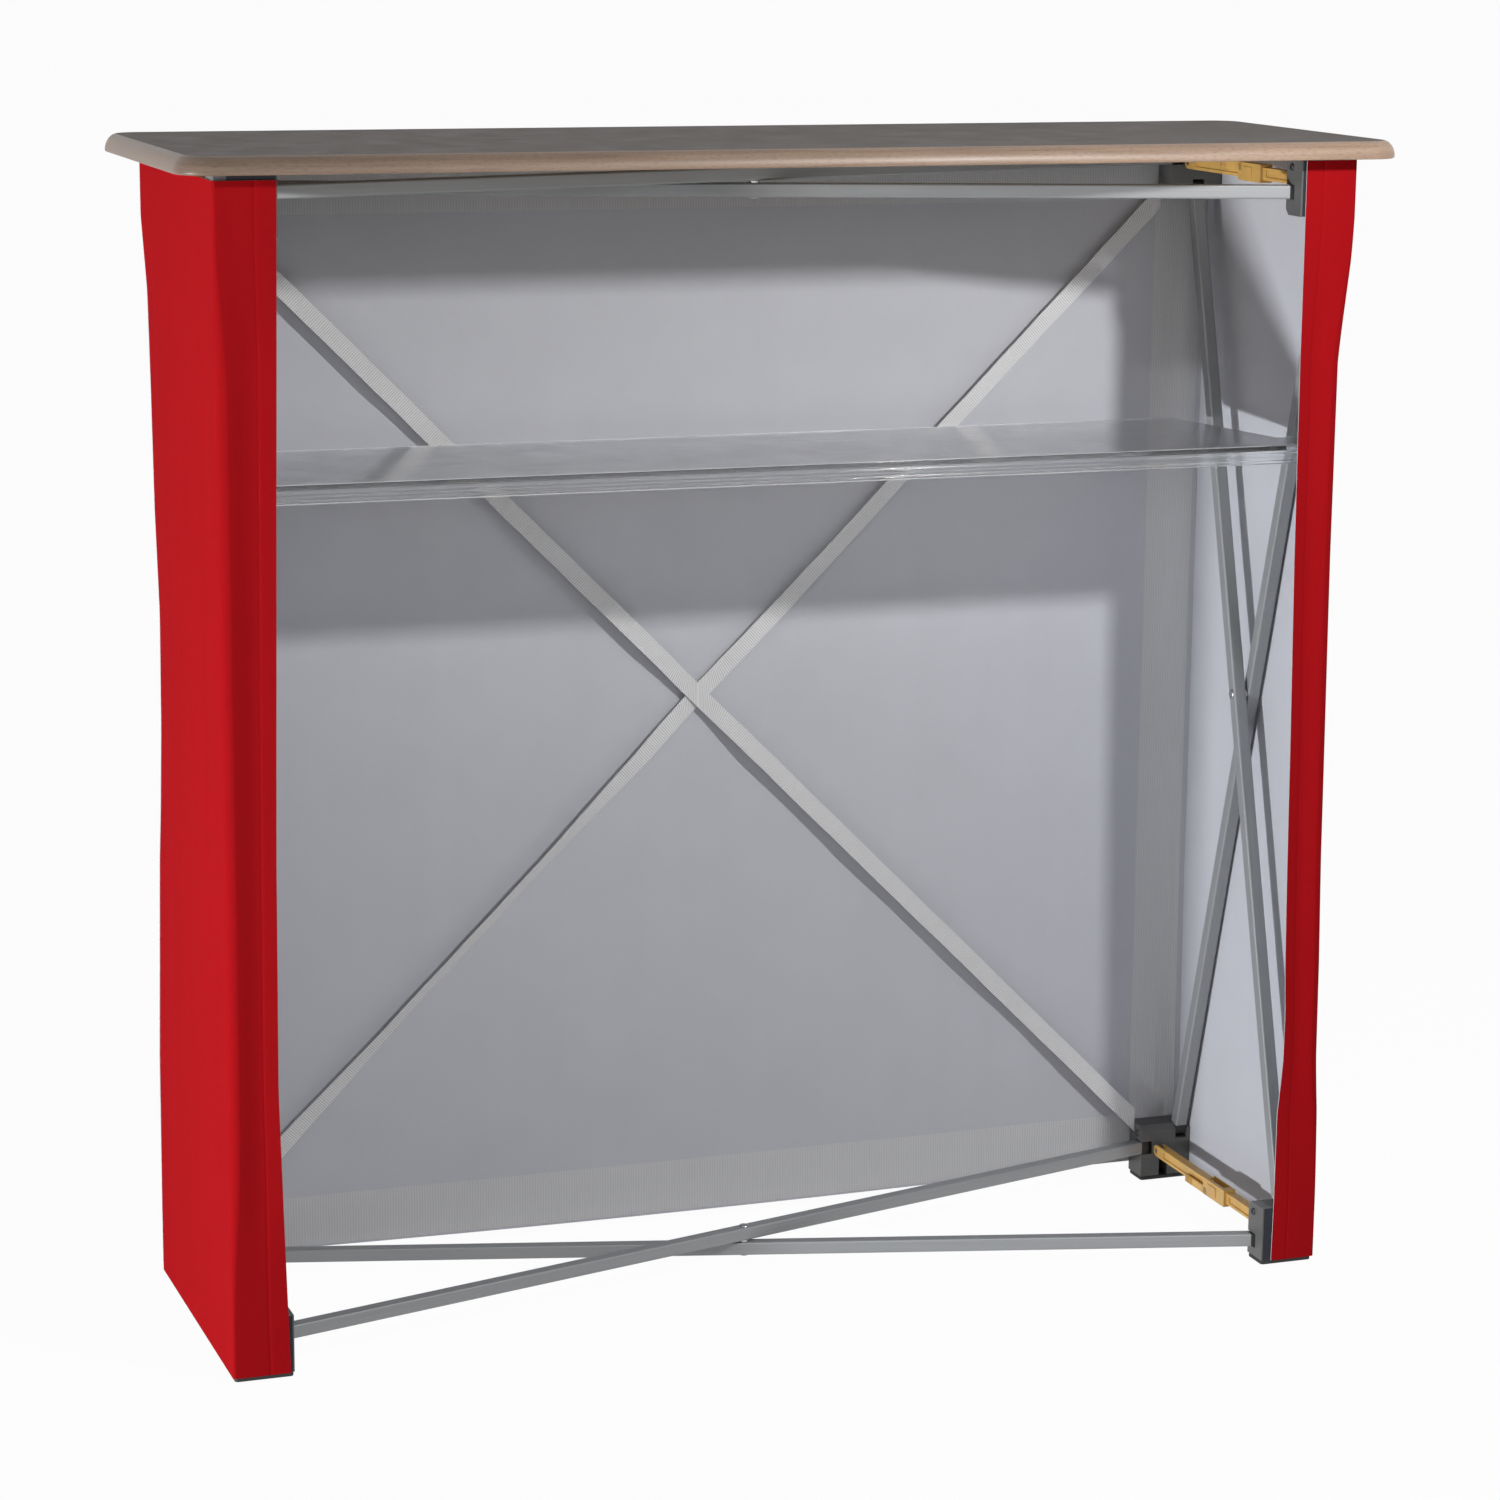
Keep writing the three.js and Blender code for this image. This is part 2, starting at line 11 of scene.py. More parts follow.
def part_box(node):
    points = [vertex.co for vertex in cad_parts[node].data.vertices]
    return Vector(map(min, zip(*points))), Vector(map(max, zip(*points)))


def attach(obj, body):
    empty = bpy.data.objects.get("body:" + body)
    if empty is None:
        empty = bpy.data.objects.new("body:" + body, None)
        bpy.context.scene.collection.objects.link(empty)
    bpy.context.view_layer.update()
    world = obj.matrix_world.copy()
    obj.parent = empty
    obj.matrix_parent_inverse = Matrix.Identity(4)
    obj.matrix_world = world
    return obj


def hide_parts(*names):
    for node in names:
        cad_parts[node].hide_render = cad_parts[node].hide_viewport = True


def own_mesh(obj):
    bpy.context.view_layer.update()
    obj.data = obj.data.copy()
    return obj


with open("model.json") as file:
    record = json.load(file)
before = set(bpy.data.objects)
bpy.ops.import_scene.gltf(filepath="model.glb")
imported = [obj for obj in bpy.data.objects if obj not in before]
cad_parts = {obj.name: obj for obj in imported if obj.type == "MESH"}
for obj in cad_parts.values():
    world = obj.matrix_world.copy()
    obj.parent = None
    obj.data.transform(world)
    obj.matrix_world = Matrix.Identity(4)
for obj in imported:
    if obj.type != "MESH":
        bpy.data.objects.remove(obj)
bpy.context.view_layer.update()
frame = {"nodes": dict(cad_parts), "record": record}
scene = bpy.context.scene
scene.view_settings.view_transform = "Standard"


# Camera: a long lens at counter height, turned and tipped as the photograph's edges show.
lens_mm = 96.676
film_mm = 36
farthest_seen = 200
camera_place = Vector((-1.1672, -3.2516, 1.2161))
turn, tip, roll = (math.radians(angle) for angle in (19.728, 12.052, -0.561))
ahead = Vector((math.sin(turn) * math.cos(tip), math.cos(turn) * math.cos(tip), -math.sin(tip)))
level = Vector((math.cos(turn), -math.sin(turn), 0))
below_level = ahead.cross(level)
across = math.cos(roll) * level + math.sin(roll) * below_level
downwards = -math.sin(roll) * level + math.cos(roll) * below_level
camera = bpy.data.objects.new("camera", bpy.data.cameras.new("camera"))
camera.data.lens = lens_mm
camera.data.sensor_width = film_mm
camera.data.clip_end = farthest_seen
camera_axes = Matrix((across, -downwards, -ahead)).transposed().to_4x4()
camera.matrix_world = Matrix.Translation(camera_place) @ camera_axes
scene.collection.objects.link(camera)
scene.camera = camera


# Floor and light: a pale floor that keeps the shadow under a white surround, a small bright lamp to
# the right of the opening, which throws the worktop's and shelf's shade, a low one on the left and a
# soft fill beside the camera.
def wire(tree, kind, inputs=None, **settings):
    made = tree.nodes.new(kind)
    for name, value in settings.items():
        setattr(made, name, value)
    for name, value in (inputs or {}).items():
        if isinstance(value, bpy.types.NodeSocket):
            tree.links.new(value, made.inputs[name])
        else:
            made.inputs[name].default_value = value
    return made


def maths(tree, operation, *values):
    return wire(tree, "ShaderNodeMath", dict(enumerate(values)), operation=operation).outputs[0]


def seen_directly(tree):
    rays = wire(tree, "ShaderNodeLightPath").outputs
    mirrored = maths(tree, "MAXIMUM", rays["Is Glossy Ray"], rays["Is Transmission Ray"])
    return maths(tree, "MAXIMUM", rays["Is Camera Ray"], mirrored)


white = (1, 1, 1, 1)
surround_tint = (0.96, 0.98, 1, 1)
surround_light = 0.125
world = bpy.data.worlds.new("surround")
world.use_nodes = True
sky = world.node_tree
sky.nodes.clear()
sky_light = wire(sky, "ShaderNodeBackground", {"Color": surround_tint, "Strength": surround_light})
sky_seen = wire(sky, "ShaderNodeBackground", {"Color": white, "Strength": 1})
sky_mix = wire(sky, "ShaderNodeMixShader",
               {0: seen_directly(sky), 1: sky_light.outputs[0], 2: sky_seen.outputs[0]})
wire(sky, "ShaderNodeOutputWorld", {"Surface": sky_mix.outputs[0]})
scene.world = world

floor_half = 70
floor_drop = 0.0004
floor_grey = (0.9, 0.9, 0.9, 1)
floor_whiteness = 0.965
floor_corners = [(x * floor_half, y * floor_half, -floor_drop)
                 for x, y in ((-1, -1), (1, -1), (1, 1), (-1, 1))]
floor_mesh = bpy.data.meshes.new("floor")
floor_mesh.from_pydata(floor_corners, [], [(0, 1, 2, 3)])
floor = bpy.data.objects.new("floor", floor_mesh)
scene.collection.objects.link(floor)
floor_paint = bpy.data.materials.new("floor_paint")
floor_paint.use_nodes = True
tree = floor_paint.node_tree
tree.nodes.clear()
matt = wire(tree, "ShaderNodeBsdfDiffuse", {"Color": floor_grey})
glow = wire(tree, "ShaderNodeEmission", {"Color": white, "Strength": 1})
glow_share = maths(tree, "MULTIPLY", seen_directly(tree), floor_whiteness)
lit_floor = wire(tree, "ShaderNodeMixShader", {0: glow_share, 1: matt.outputs[0], 2: glow.outputs[0]})
wire(tree, "ShaderNodeOutputMaterial", {"Surface": lit_floor.outputs[0]})
floor_mesh.materials.append(floor_paint)


def lamp(name, place, aim, size, watts, colour=(1, 1, 1)):
    light = bpy.data.lights.new(name, "AREA")
    light.shape = "DISK"
    light.size = size
    light.energy = watts
    light.color = colour
    holder = bpy.data.objects.new(name, light)
    holder.location = place
    holder.rotation_euler = (Vector(aim) - Vector(place)).to_track_quat("-Z", "Y").to_euler()
    scene.collection.objects.link(holder)


lamp("key_lamp", place=(0.61, -1.248, 1.408), aim=(0, 0.14, 0.6), size=0.09, watts=14)
lamp("low_fill", place=(-2.9, -0.84, 0.12), aim=(-0.2, 0, 0.5), size=0.24, watts=79,
     colour=(0.95, 0.97, 1))
lamp("front_fill", place=(-0.6, -3.4, 1.5), aim=(0, 0, 0.5), size=1.4, watts=7.5)


# Corner hubs: injection-moulded blocks of grey nylon, slotted for the eyes in the bars' ends and
# cored out to save plastic, with a pan-head screw and a strip of dark hook tape that the cloth grips.
def effect(name, takes, gives):
    group = bpy.data.node_groups.new(name, "ShaderNodeTree")
    for label, kind, value in takes:
        group.interface.new_socket(name=label, in_out="INPUT", socket_type=kind).default_value = value
    for label, kind in gives:
        group.interface.new_socket(name=label, in_out="OUTPUT", socket_type=kind)
    return group, group.nodes.new("NodeGroupInput").outputs, group.nodes.new("NodeGroupOutput").inputs


# A value brought from one span to another; the usual span is that of a noise
def ranged(tree, value, low, high, start=0.3, end=0.7):
    return wire(tree, "ShaderNodeMapRange", {"Value": value, "From Min": start, "From Max": end,
                                             "To Min": low, "To Max": high}).outputs[0]


def noisy(tree, place, scale, detail, **more):
    inputs = {"Vector": place, "Scale": scale, "Detail": detail, **more}
    return wire(tree, "ShaderNodeTexNoise", inputs).outputs[0]


def scaled(tree, vector, factor):
    return wire(tree, "ShaderNodeVectorMath", {0: vector, "Scale": factor}, operation="SCALE").outputs[0]


# Moulded plastic: a fine spark-eroded grain, with broad patches where the finish is a little duller
usual_grain = 2200
moulded_grain, grain_in, grain_out = effect(
    "moulded_grain",
    [("Colour", "NodeSocketColor", (0.1, 0.1, 0.1, 1)), ("Roughness", "NodeSocketFloat", 0.5),
     ("Grain", "NodeSocketFloat", usual_grain)],
    [("Colour", "NodeSocketColor"), ("Roughness", "NodeSocketFloat"), ("Height", "NodeSocketFloat")])
place = wire(moulded_grain, "ShaderNodeTexCoord").outputs["Object"]
fine = noisy(moulded_grain, place, scale=grain_in["Grain"], detail=2)
broad = noisy(moulded_grain, place, scale=38, detail=4)
tint = ranged(moulded_grain, broad, low=0.86, high=1.12)
speck = ranged(moulded_grain, fine, low=0.93, high=1.07)
shade = scaled(moulded_grain, grain_in["Colour"], maths(moulded_grain, "MULTIPLY", tint, speck))
moulded_grain.links.new(shade, grain_out["Colour"])
dull = ranged(moulded_grain, broad, low=-0.07, high=0.07)
sheen = maths(moulded_grain, "ADD", grain_in["Roughness"], dull)
moulded_grain.links.new(sheen, grain_out["Roughness"])
moulded_grain.links.new(fine, grain_out["Height"])


def surface(name, **constants):
    made = bpy.data.materials.new(name)
    made.use_nodes = True
    shader = made.node_tree.nodes["Principled BSDF"]
    for label, value in constants.items():
        shader.inputs[label.replace("_", " ")].default_value = value
    return made, made.node_tree, shader


def use(tree, group, **inputs):
    return wire(tree, "ShaderNodeGroup", inputs, node_tree=group).outputs


def bumped(tree, shader, height, strength, depth):
    bump = wire(tree, "ShaderNodeBump", {"Height": height, "Strength": strength, "Distance": depth})
    tree.links.new(bump.outputs[0], shader.inputs["Normal"])


def moulded(name, colour, roughness, grain=usual_grain, depth=0.00004, **constants):
    made, tree, shader = surface(name, **constants)
    look = use(tree, moulded_grain, Colour=(*colour, 1), Roughness=roughness, Grain=grain)
    tree.links.new(look["Colour"], shader.inputs["Base Color"])
    tree.links.new(look["Roughness"], shader.inputs["Roughness"])
    bumped(tree, shader, look["Height"], strength=0.5, depth=depth)
    return made


def add(name, mesh, body, *materials):
    for material in materials:
        mesh.materials.append(material)
    piece = bpy.data.objects.new(name, mesh)
    scene.collection.objects.link(piece)
    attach(piece, body)
    return piece


body_of = {node: body for body, nodes in frame["record"]["behaviour"]["bodies"].items() for node in nodes}
same_spot = 1e-6
level_within = math.radians(1)
round_segments = 2
flat_face_weight = 100


# A CAD node's own shape, its edges of at least so many degrees rounded, standing in for the node
def softened(node, width, material, least=25):
    shape = bmesh.new()
    shape.from_mesh(frame["nodes"][node].data)
    bmesh.ops.remove_doubles(shape, verts=shape.verts, dist=same_spot)
    bmesh.ops.dissolve_limit(shape, angle_limit=level_within, verts=shape.verts, edges=shape.edges)
    edges = [edge for edge in shape.edges
             if edge.is_manifold and edge.calc_face_angle(0) > math.radians(least)]
    bmesh.ops.bevel(shape, geom=edges, offset=width, segments=round_segments, profile=0.5, affect="EDGES",
                    clamp_overlap=True)
    mesh = bpy.data.meshes.new(f"{node}_shape")
    shape.to_mesh(mesh)
    shape.free()
    mesh.shade_smooth()
    piece = add(f"{node}_shape", mesh, body_of[node], material)
    piece.modifiers.new("flat_faces", "WEIGHTED_NORMAL").weight = flat_face_weight
    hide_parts(node)
    return piece


# A mesh with its faces turned outwards, smooth but for creases past an angle in degrees
def smoothed(mesh, crease, closing=False):
    shape = bmesh.new()
    shape.from_mesh(mesh)
    if closing:
        bmesh.ops.remove_doubles(shape, verts=shape.verts, dist=same_spot)
        bmesh.ops.holes_fill(shape, edges=shape.edges)
    bmesh.ops.recalc_face_normals(shape, faces=shape.faces)
    shape.to_mesh(mesh)
    shape.free()
    mesh.shade_smooth()
    mesh.set_sharp_from_angle(angle=math.radians(crease))


# A turned shape from its outline of (radius, height) points, about a point and along an axis
def turned(name, outline, centre, axis, body, material, sides=20):
    upright = Vector(axis).to_track_quat("Z", "Y").to_matrix()
    points = []
    faces = []
    for radius, height in outline:
        for step in range(sides):
            angle = 2 * math.pi * step / sides
            spot = Vector((radius * math.cos(angle), radius * math.sin(angle), height))
            points.append(Vector(centre) + upright @ spot)
    for row in range(len(outline) - 1):
        for step in range(sides):
            a = row * sides + step
            b = row * sides + (step + 1) % sides
            faces.append((a, b, b + sides, a + sides))
    mesh = bpy.data.meshes.new(name)
    mesh.from_pydata(points, [], faces)
    smoothed(mesh, crease=40, closing=True)
    piece = add(name, mesh, body, material)
    return piece


def block(shape, centre, size):
    bmesh.ops.create_cube(shape, size=1, matrix=Matrix.LocRotScale(Vector(centre), None, Vector(size)))


hub_plastic = moulded("hub_plastic", (0.107, 0.106, 0.104), roughness=0.48, Specular_IOR_Level=0.45)
hook_tape = moulded("hook_tape", (0.012, 0.014, 0.022), roughness=0.85, grain=900, depth=0.0004)
screw_steel = moulded("screw_steel", (0.1, 0.1, 0.105), roughness=0.45, Metallic=1)
hub_edge = 0.0009
hub_depth = 0.028
screw_outline = [(0, 0), (0.0034, 0), (0.0034, 0.0005), (0.0029, 0.0013), (0.0016, 0.0017),
                 (0.0014, 0.0007), (0, 0.0007)]
screw_sides = 16
screw_from_top = 0.0085
screw_from_back = 0.0098
tape_thickness = 0.0004
tape_margin = 0.0015
tape_span = (0.03, 0.8)
hubs = [node for node in sorted(frame["nodes"]) if node.startswith("hub_")]
for hub in hubs:
    softened(hub, hub_edge, hub_plastic)
    low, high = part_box(hub)
    left = (low.x + high.x) < 0
    near = "near" in hub
    inner_x, outer_x = (high.x, low.x) if left else (low.x, high.x)
    outer_y = low.y if near else high.y
    into = 1 if near else -1
    inner_y = outer_y + into * hub_depth
    screw_foot = (inner_x, inner_y - into * screw_from_back, high.z - screw_from_top)
    turned(f"{hub}_screw", screw_outline, screw_foot, (1 if left else -1, 0, 0), body_of[hub], screw_steel,
           sides=screw_sides)
    tape_from, tape_to = (inner_x + (outer_x - inner_x) * share for share in tape_span)
    face_y = outer_y - into * tape_thickness / 2
    shape = bmesh.new()
    block(shape, ((tape_from + tape_to) / 2, face_y, (low.z + high.z) / 2),
          (abs(tape_to - tape_from), tape_thickness, high.z - low.z - tape_margin))
    tape = bpy.data.meshes.new(f"{hub}_tape")
    shape.to_mesh(tape)
    shape.free()
    add(f"{hub}_tape", tape, body_of[hub], hook_tape)


# Feet: black pads of moulded rubber, glued under the four bottom hubs so that the frame
# doesn't slip or mark the floor.
foot_rubber = moulded("foot_rubber", (0.02, 0.019, 0.019), roughness=0.7, grain=1400)
foot_edge = 0.0008
for node in sorted(frame["nodes"]):
    if node.startswith("foot_"):
        softened(node, foot_edge, foot_rubber)


# Frame bars: square aluminium tube with fine draw lines along it, anodised to a matt grey that hides
# most of the metal. Each end holds a black plastic eye that turns in a hub, its near-black partly
# painted shade for the dark gap round the bar in the hub's slot, and the pairs are riveted where they
# cross.
def stretched_noise(tree, place, stretch, detail, **more):
    lie = wire(tree, "ShaderNodeMapping", {"Vector": place, "Scale": stretch}).outputs[0]
    return noisy(tree, lie, scale=1, detail=detail, **more)


def ramp(tree, value, *stops):
    made = wire(tree, "ShaderNodeValToRGB", {"Fac": value})
    for element, (position, colour) in zip(made.color_ramp.elements, stops):
        element.position = position
        element.color = (*colour, 1)
    return made.outputs[0]


aluminium, tree, shader = surface("drawn_aluminium", Metallic=0.25)
along = wire(tree, "ShaderNodeUVMap", uv_map="along").outputs[0]
drawn = stretched_noise(tree, along, stretch=(5, 2600, 1), detail=3)
handled = stretched_noise(tree, along, stretch=(14, 60, 1), detail=5)
tone = ramp(tree, drawn, (0.3, (0.27, 0.277, 0.285)), (0.7, (0.34, 0.348, 0.357)))
tree.links.new(tone, shader.inputs["Base Color"])
tree.links.new(ranged(tree, handled, low=0.36, high=0.48), shader.inputs["Roughness"])
bumped(tree, shader, drawn, strength=0.25, depth=0.00003)

# The eyes' near-black is their own black plastic and also painted shade, standing for the dark gaps round
# the bars in the hubs' slots.
plug_plastic = moulded("plug_plastic", (0.022, 0.021, 0.021), roughness=0.5)
tube_edge = 0.0006
tube_least_angle = 20
plug_edge = 0.0005
face_spread = 1.7
plug_endings = ("_near_plug", "_far_plug")
for node in sorted(frame["nodes"]):
    if node.endswith("_plug"):
        softened(node, plug_edge, plug_plastic)
    if not node.endswith("_tube"):
        continue
    tube = softened(node, tube_edge, aluminium, least=tube_least_angle)
    ends = [sum(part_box(node.replace("_tube", plug)), Vector()) / 2 for plug in plug_endings]
    run = (ends[1] - ends[0]).normalized()
    flat_way = Vector((1, 0, 0)) if "left" in node or "right" in node else Vector((0, 0, 1))
    other_way = run.cross(flat_way)
    uv = tube.data.uv_layers.new(name="along")
    for loop in tube.data.loops:
        spot = tube.data.vertices[loop.vertex_index].co - ends[0]
        uv.data[loop.index].uv = (spot.dot(run), spot.dot(flat_way) + face_spread * spot.dot(other_way))

rivet_steel = moulded("rivet_steel", (0.5, 0.5, 0.51), roughness=0.3, Metallic=1)
bar_half, bar_pitch = 0.006, 0.014
rivet_gap = 0.0003
rivet_radius, head_radius, head_height = 0.0025, 0.0045, 0.0015
dome_angles = (0, 0.4, 0.8, 1.2, math.pi / 2)
collar = bar_pitch / 2 - bar_half - rivet_gap
under = bar_pitch / 2 + bar_half + rivet_gap
dome = [(head_radius * math.cos(a), under + head_height * math.sin(a)) for a in dome_angles]
upper = [(head_radius, 0), (head_radius, collar), (rivet_radius, collar), (rivet_radius, under), *dome]
outline = [(radius, -height) for radius, height in reversed(upper)] + upper[1:]
for node, axis in (("floor_rivet", (0, 0, 1)), ("top_rivet", (0, 0, 1)),
                   ("left_rivet", (1, 0, 0)), ("right_rivet", (1, 0, 0))):
    low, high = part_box(node)
    rivet = turned(node + "_shape", outline, (low + high) / 2, axis, body_of[node], rivet_steel)
    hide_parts(node)


# Locking braces: struts of moulded ochre plastic in two halves, waisted by a groove and pinned to the
# hubs, with a clip block and a thumb tab on the near half that closes over the far half's tongue.
brace_plastic = moulded("brace_plastic", (0.62, 0.37, 0.1), roughness=0.42, grain=1500,
                        Subsurface_Weight=0.08, Subsurface_Scale=0.004, Specular_IOR_Level=0.5)
brace_edge = 0.0006
for node in sorted(frame["nodes"]):
    if node.startswith("brace_"):
        softened(node, brace_edge, brace_plastic)
brace_x = 0.4645
tab_thickness, tab_past_clip, tab_on_clip, tab_height, tab_drop = 0.0027, 0.038, 0.008, 0.0072, 0.0042
tab_length = tab_past_clip + tab_on_clip
tab_edge = 0.0004
ridge_count, ridge_pitch, ridge_width, ridge_height, ridge_margin = 5, 0.0028, 0.0013, 0.001, 0.001
clip_face, boss_length, boss_height, boss_from_end = 0.0075, 0.017, 0.0095, 0.019
for side in (-1, 1):
    for height, middle_z, down in (("bottom", 0.031, -1), ("top", 0.976, 1)):
        node = f"brace_near_{'left' if side < 0 else 'right'}_{height}"
        clip_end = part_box(node)[1].y
        face_x = side * (brace_x - clip_face)
        tab_x = face_x + side * tab_thickness / 2
        tab_z = middle_z + down * tab_drop
        tab_end = clip_end + tab_past_clip
        shape = bmesh.new()
        block(shape, (tab_x, tab_end - tab_length / 2, tab_z), (tab_thickness, tab_length, tab_height))
        for step in range(ridge_count):
            block(shape, (face_x, tab_end - ridge_pitch * (1 + step), tab_z),
                  (2 * ridge_height, ridge_width, tab_height - ridge_margin))
        block(shape, (face_x, clip_end - boss_from_end, middle_z),
              (2 * ridge_height, boss_length, boss_height))
        bmesh.ops.bevel(shape, geom=shape.edges[:], offset=tab_edge, segments=round_segments, profile=0.5,
                        affect="EDGES")
        tab = bpy.data.meshes.new(f"{node}_tab")
        shape.to_mesh(tab)
        shape.free()
        tab.shade_smooth()
        piece = add(f"{node}_tab", tab, node, brace_plastic)
        piece.modifiers.new("flat_faces", "WEIGHTED_NORMAL").weight = flat_face_weight


# Cloth skin: knitted polyester, red outside and backed in grey-white, sewn with hems and drawn
# tight round the hubs, so that it pulls in between them.
threads_per_metre = 1100
weave, weave_in, weave_out = effect(
    "weave",
    [("Colour", "NodeSocketColor", (0.5, 0.5, 0.5, 1)), ("Threads", "NodeSocketFloat", threads_per_metre),
     ("Streaks", "NodeSocketFloat", 0.08), ("Mottle", "NodeSocketFloat", 0.06)],
    [("Colour", "NodeSocketColor"), ("Height", "NodeSocketFloat")])
flat = wire(weave, "ShaderNodeUVMap", uv_map="flat").outputs[0]
thread = wire(weave, "ShaderNodeSeparateXYZ", {0: scaled(weave, flat, weave_in["Threads"])}).outputs
warp, weft = (maths(weave, "SINE", maths(weave, "MULTIPLY", thread[way], 2 * math.pi)) for way in (0, 1))
crossed = maths(weave, "MULTIPLY", warp, weft)
weave.links.new(crossed, weave_out["Height"])
hanging = stretched_noise(weave, flat, stretch=(26, 1.1, 1), detail=3)
patch = noisy(weave, flat, scale=13, detail=5)
grit = noisy(weave, flat, scale=700, detail=2)
noise_middle = 0.5
tone = 1
for source, middle, size in ((hanging, noise_middle, "Streaks"), (patch, noise_middle, "Mottle"),
                             (grit, noise_middle, "Mottle"), (crossed, 0, "Mottle")):
    swing = maths(weave, "MULTIPLY", maths(weave, "ADD", source, -middle), weave_in[size])
    tone = maths(weave, "ADD", swing, tone)
weave.links.new(scaled(weave, weave_in["Colour"], tone), weave_out["Colour"])


def cloth(name, colour, threads, streaks, mottle, depth, **constants):
    made, tree, shader = surface(name, **constants)
    look = use(tree, weave, Colour=(*colour, 1), Threads=threads, Streaks=streaks, Mottle=mottle)
    tree.links.new(look["Colour"], shader.inputs["Base Color"])
    bumped(tree, shader, look["Height"], strength=0.35, depth=depth)
    return made


red_cloth = cloth("red_cloth", (0.365, 0.0055, 0.0083), threads_per_metre, streaks=0.12, mottle=0.05,
                  depth=0.00015, Roughness=0.85, Specular_IOR_Level=0.03)
grey_backing = cloth("grey_backing", (0.55, 0.557, 0.597), threads_per_metre, streaks=0.05, mottle=0.09,
                     depth=0.00012, Roughness=0.8, Specular_IOR_Level=0.3)


# A sheet of cloth over a grid of flat places (across, up), with a face and a backing
def sewn(name, columns, rows, spot, thickness, body, face, backing):
    points = []
    for offset in (thickness / 2, -thickness / 2):
        for v in rows:
            for u in columns:
                middle, outwards = spot(u, v)
                points.append(middle + outwards * offset)
    wide, layer = len(columns), len(columns) * len(rows)
    faces, finish = [], []
    for j in range(len(rows) - 1):
        for i in range(wide - 1):
            a = j * wide + i
            quad = (a, a + 1, a + 1 + wide, a + wide)
            faces += [quad, tuple(layer + k for k in reversed(quad))]
            finish += [0, 1]
    rim = list(range(wide)) + [j * wide + wide - 1 for j in range(1, len(rows))]
    rim += [(len(rows) - 1) * wide + i for i in range(wide - 2, -1, -1)]
    rim += [j * wide for j in range(len(rows) - 2, 0, -1)]
    for a, b in zip(rim, rim[1:] + rim[:1]):
        faces.append((b, a, a + layer, b + layer))
        finish.append(1)
    mesh = bpy.data.meshes.new(name)
    mesh.from_pydata(points, [], faces)
    mesh.polygons.foreach_set("material_index", finish)
    uv = mesh.uv_layers.new(name="flat")
    for loop in mesh.loops:
        k = loop.vertex_index % layer
        uv.data[loop.index].uv = (columns[k % wide], rows[k // wide])
    smoothed(mesh, crease=50)
    return add(name, mesh, body, face, backing)


def steps(start, end, size, *extra):
    count = max(1, round(abs(end - start) / size))
    return sorted({round(start + (end - start) * i / count, 6) for i in range(count + 1)} | set(extra))


def ease(value, start, end):
    t = min(1, max(0, (value - start) / (end - start)))
    return t * t * (3 - 2 * t)


# A value read off a list of (height, value) points
def at_height(z, points):
    for (low, start), (high, end) in zip(points, points[1:]):
        if z <= high:
            return start + (end - start) * max(0, (z - low) / (high - low))
    return points[-1][1]


skin_half, skin_low, skin_high = 0.5, 0.004, 0.994
panel_y, cloth_thickness = 0.1505, 0.001
cloth_step = 0.0125
# How the panel billows, over what reach it is held at its edges, and how its bottom hem lifts
billow, billows_across, billows_up, billow_seed = 0.0026, 3.1, 2.3, 0.4
held_side, held_end = 0.09, 0.1
edge_reach = 0.08
hem_rise, hem_bow, hem_bow_full, hem_slack = 0.0034, 0.0042, 0.42, 0.07
far_draw = {-1: [(0.05, 0), (0.2, 0.0006), (0.29, 0.0026), (0.38, 0.0045), (0.425, 0.0063), (0.5, 0.0083),
                 (0.6, 0.0092), (0.69, 0.0067), (0.8, 0.0055), (0.88, 0.0042), (0.945, 0)],
            1: [(0.05, 0), (0.3, 0.002), (0.7, 0.002), (0.945, 0)]}


def front_spot(x, z):
    held = ease(skin_half - abs(x), 0, held_side)
    held *= ease(z, skin_low, held_end)
    held *= ease(skin_high - z, 0, held_end)
    ripple = 0.5 + 0.5 * noise.noise(Vector((billows_across * x, billow_seed, billows_up * z)))
    side = -1 if x < 0 else 1
    drawn_x = x - side * at_height(z, far_draw[side]) * ease(abs(x), skin_half - edge_reach, skin_half)
    hem_lift = hem_rise + hem_bow * min(1, (x / hem_bow_full) ** 2)
    hem_lift *= ease(skin_low + hem_slack - z, 0, hem_slack)
    return Vector((drawn_x, panel_y + billow * held * ripple, z + hem_lift)), Vector((0, 1, 0))


# Ribbed webbing: cords close together under a plain weave, with painted shade darkening the valleys between
# the cords
ribbed, ribbed_in, ribbed_out = effect(
    "ribbed",
    [("Height", "NodeSocketFloat", 0), ("Ribs", "NodeSocketFloat", 400), ("Across", "NodeSocketFloat", 0),
     ("Valley", "NodeSocketFloat", 0.87)],
    [("Height", "NodeSocketFloat"), ("Tone", "NodeSocketFloat")])
flat = wire(ribbed, "ShaderNodeUVMap", uv_map="flat").outputs[0]
ways = wire(ribbed, "ShaderNodeSeparateXYZ", {0: flat}).outputs
lie = wire(ribbed, "ShaderNodeMix", {0: ribbed_in["Across"], 2: ways[0], 3: ways[1]}).outputs[0]
turns = maths(ribbed, "MULTIPLY", lie, ribbed_in["Ribs"])
cord = maths(ribbed, "SINE", maths(ribbed, "MULTIPLY", turns, 2 * math.pi))
ribbed.links.new(maths(ribbed, "ADD", cord, ribbed_in["Height"]), ribbed_out["Height"])
# Painted shade: the colour falls to the valley factor where the cord is lowest, standing for the shade
# between the ribs
valley_shade = ranged(ribbed, cord, low=ribbed_in["Valley"], high=1, start=-1, end=0.2)
ribbed.links.new(valley_shade, ribbed_out["Tone"])
